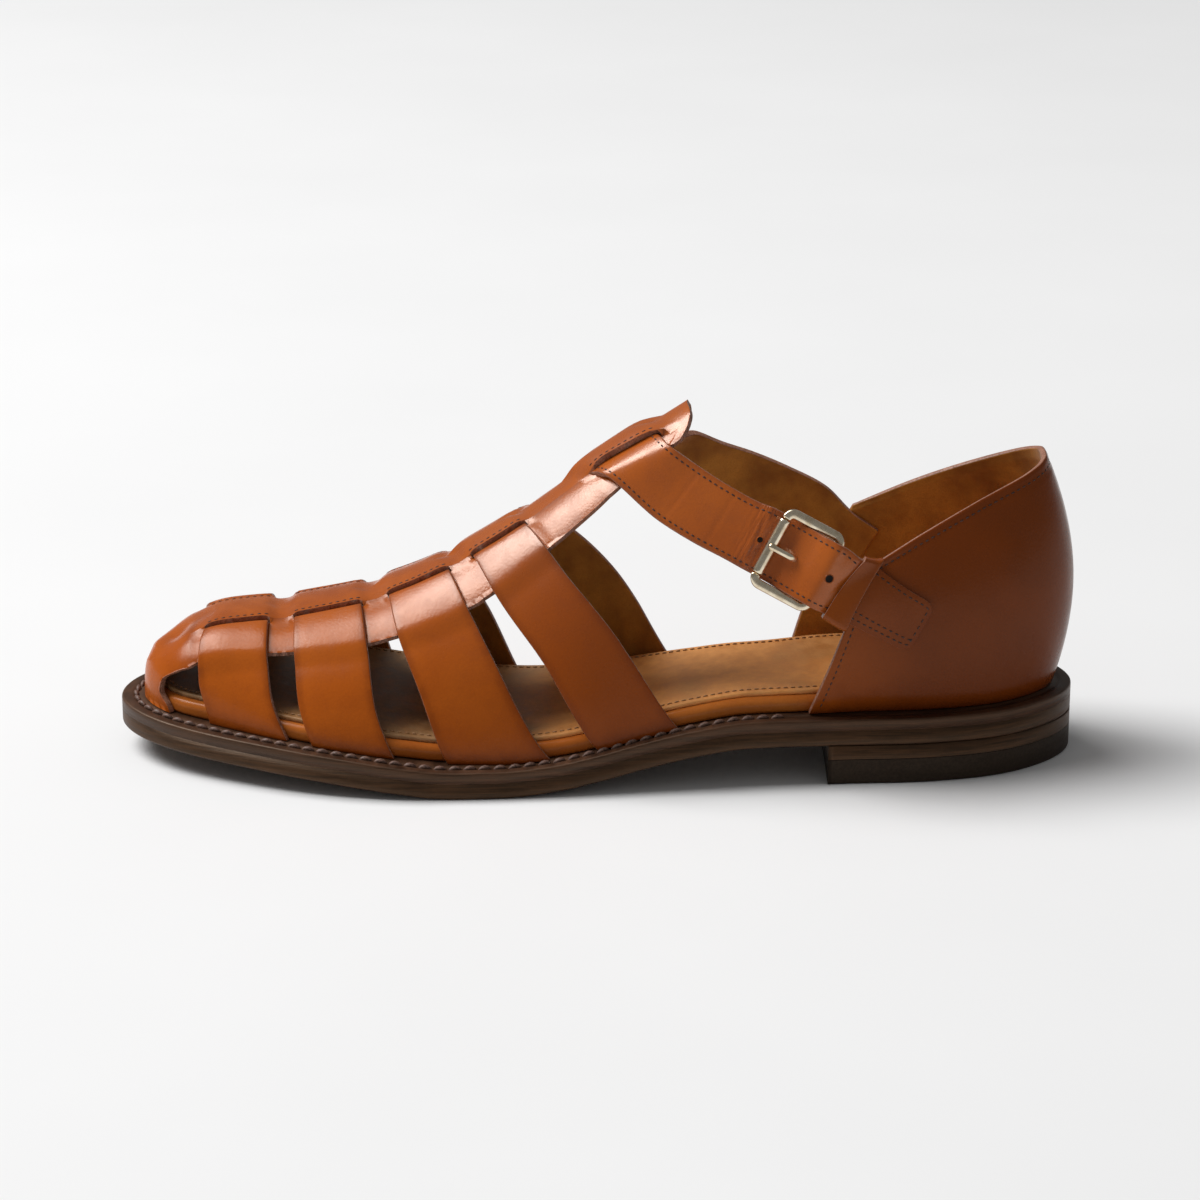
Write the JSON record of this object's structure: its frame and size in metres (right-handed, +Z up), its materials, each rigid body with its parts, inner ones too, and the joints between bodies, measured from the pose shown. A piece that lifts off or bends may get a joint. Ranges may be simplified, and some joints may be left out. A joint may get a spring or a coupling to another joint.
{
  "type": "fisherman sandal",
  "caption": "Left fisherman sandal: woven leather straps over a low stacked sole, closed leather heel counter, ankle strap with a roller buckle on the outer side.",
  "frame": {"origin": "middle of the part's box at the floor, in metres", "axes": "+X towards the heel, -X towards the toe, -Y the outer side with the buckle, +Z up"},
  "size_m": [0.29, 0.0964, 0.1095],
  "materials": {
    "upper leather": "burnished cognac leather, satin gloss",
    "footbed leather": "tan leather wrap",
    "insole leather": "matt tan sock leather, worn",
    "welt leather": "dark brown waxed leather",
    "sole leather": "dark brown edge-dressed leather",
    "heel rubber": "near-black brown rubber",
    "buckle metal": "polished pale gold"
  },
  "bodies": {
    "root": {"upper": "upper leather", "chape": "upper leather", "keeper": "upper leather", "insole": "insole leather", "footbed": "footbed leather", "welt": "welt leather", "outsole": "sole leather", "heel_lift": "sole leather", "top_lift": "heel rubber", "buckle_frame": "buckle metal", "buckle_roller": "buckle metal", "buckle_prong": "buckle metal"}
  },
  "joints": []
}
